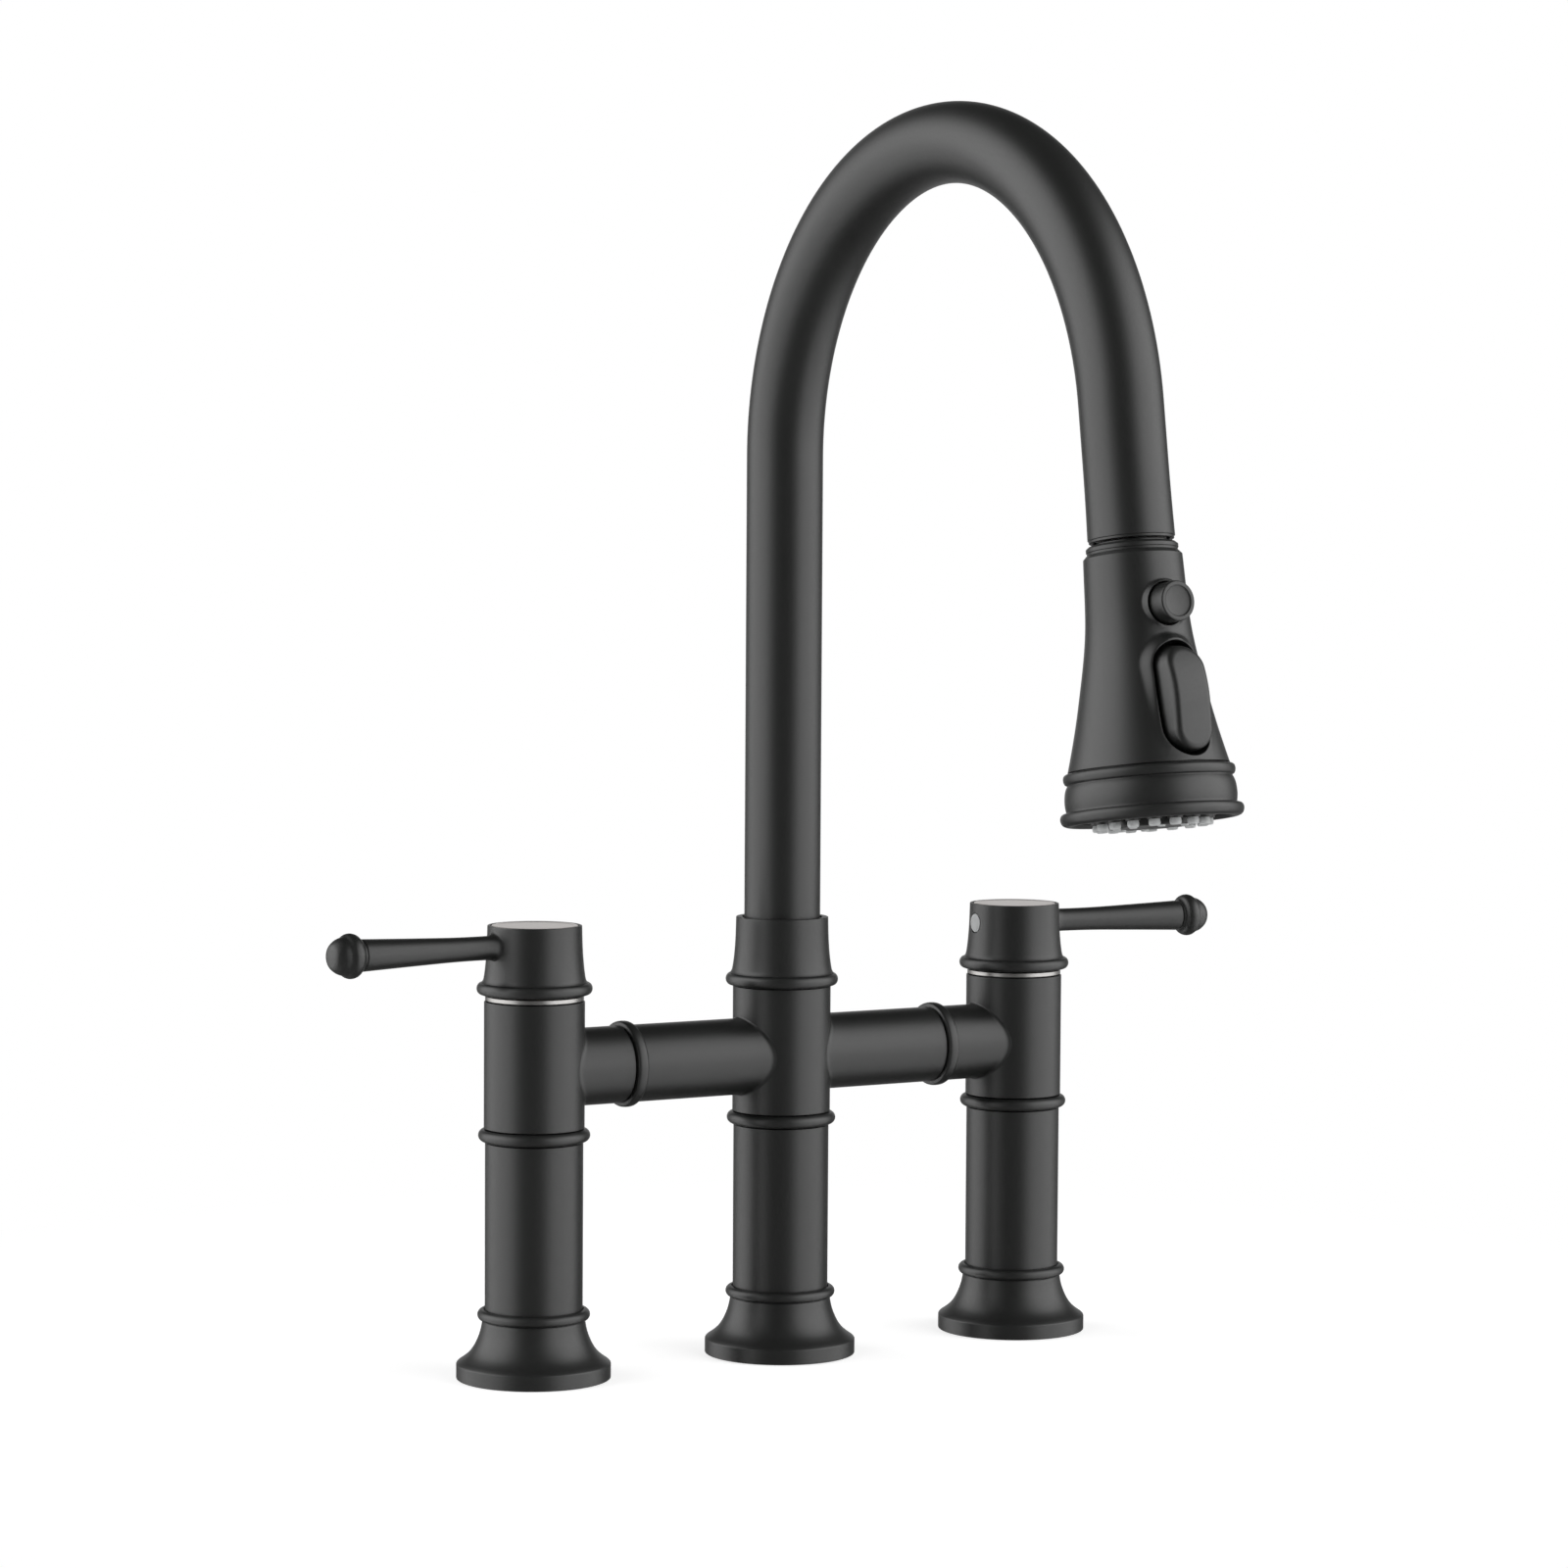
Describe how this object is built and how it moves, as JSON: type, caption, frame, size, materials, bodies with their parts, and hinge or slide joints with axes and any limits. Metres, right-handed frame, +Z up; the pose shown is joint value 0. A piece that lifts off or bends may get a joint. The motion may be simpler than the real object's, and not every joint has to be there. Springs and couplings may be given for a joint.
{
  "type": "bridge kitchen faucet",
  "caption": "Matte black bridge kitchen faucet: lever valves on bead-ringed columns joined by a bridge, swivel gooseneck spout and pull-down spray head with a button and a rocker.",
  "frame": {"origin": "on the deck, at the middle of the underside of the middle leg's base flange", "axes": "+X along the bridge from the hot valve to the cold valve, -Y towards the user and the outlet, +Z up"},
  "size_m": [0.3682, 0.2861, 0.4458],
  "materials": {
    "matte_black": "matte",
    "black_plastic": "matte",
    "chrome": "polished",
    "brass": "machined",
    "steel": "machined",
    "grey_rubber": "soft",
    "nylon": "moulded"
  },
  "bodies": {
    "fixture": {"cold_base_flange": "matte_black", "cold_bonnet": "chrome", "cold_bridge_tube": "matte_black", "cold_cartridge": "brass", "cold_lower_column": "matte_black", "cold_mid_ring": "matte_black", "cold_union_ring": "matte_black", "cold_valve_body": "matte_black", "hot_base_flange": "matte_black", "hot_bonnet": "chrome", "hot_bridge_tube": "matte_black", "hot_cartridge": "brass", "hot_lower_column": "matte_black", "hot_mid_ring": "matte_black", "hot_union_ring": "matte_black", "hot_valve_body": "matte_black", "spout_base_flange": "matte_black", "spout_body": "matte_black", "spout_bush": "nylon", "spout_collar": "matte_black", "spout_lower_column": "matte_black", "spout_mid_ring": "matte_black"},
    "hot_handle": {"hot_stem": "brass", "hot_hub": "matte_black", "hot_index_cap": "chrome", "hot_lever_rod": "matte_black", "hot_lever_finial": "matte_black", "hot_set_screw": "steel", "hot_plug": "grey_rubber"},
    "cold_handle": {"cold_stem": "brass", "cold_hub": "matte_black", "cold_index_cap": "chrome", "cold_lever_rod": "matte_black", "cold_lever_finial": "matte_black", "cold_set_screw": "steel", "cold_plug": "grey_rubber"},
    "spout": {"spout_tube": "matte_black", "spray_dock": "nylon", "spray_hose": "grey_rubber"},
    "spray_coupling": {"spray_neck": "black_plastic", "spray_hose_run": "grey_rubber"},
    "spray_head": {"spray_shell": "black_plastic", "spray_rim": "black_plastic", "spray_face": "black_plastic", "spray_nozzles": "grey_rubber", "spray_pin": "steel"},
    "button": {"spray_button": "black_plastic"},
    "rocker": {"spray_rocker": "black_plastic"}
  },
  "joints": [
    {"name": "hot_turn", "type": "hinge", "parent": "fixture", "child": "hot_handle", "pos_m": [-0.1016, 0, 0.14], "axis": [0, 0, 1], "range_deg": [0, 90]},
    {"name": "cold_turn", "type": "hinge", "parent": "fixture", "child": "cold_handle", "pos_m": [0.1016, 0, 0.14], "axis": [0, 0, 1], "range_deg": [-90, 0]},
    {"name": "spout_swivel", "type": "hinge", "parent": "fixture", "child": "spout", "pos_m": [0, 0, 0.14], "axis": [0, 0, 1], "continuous": true},
    {"name": "spray_pull_down", "type": "slide", "parent": "spout", "child": "spray_coupling", "axis": [0, -0.1478, -0.989], "range_m": [0, 0.16], "deforming": ["spray_hose_run"]},
    {"name": "spray_twist", "type": "hinge", "parent": "spray_coupling", "child": "spray_head", "pos_m": [0, -0.21796, 0.2881], "axis": [0, -0.1478, -0.989], "continuous": true},
    {"name": "button_press", "type": "slide", "parent": "spray_head", "child": "button", "axis": [0, 0.989, -0.1478], "range_m": [0, 0.002], "stiffness_N_per_m": 900, "springref_m": -0.0005},
    {"name": "rocker_tilt", "type": "hinge", "parent": "spray_head", "child": "rocker", "pos_m": [0, -0.24149, 0.24702], "axis": [1, 0, 0], "range_deg": [-8, 0]}
  ]
}
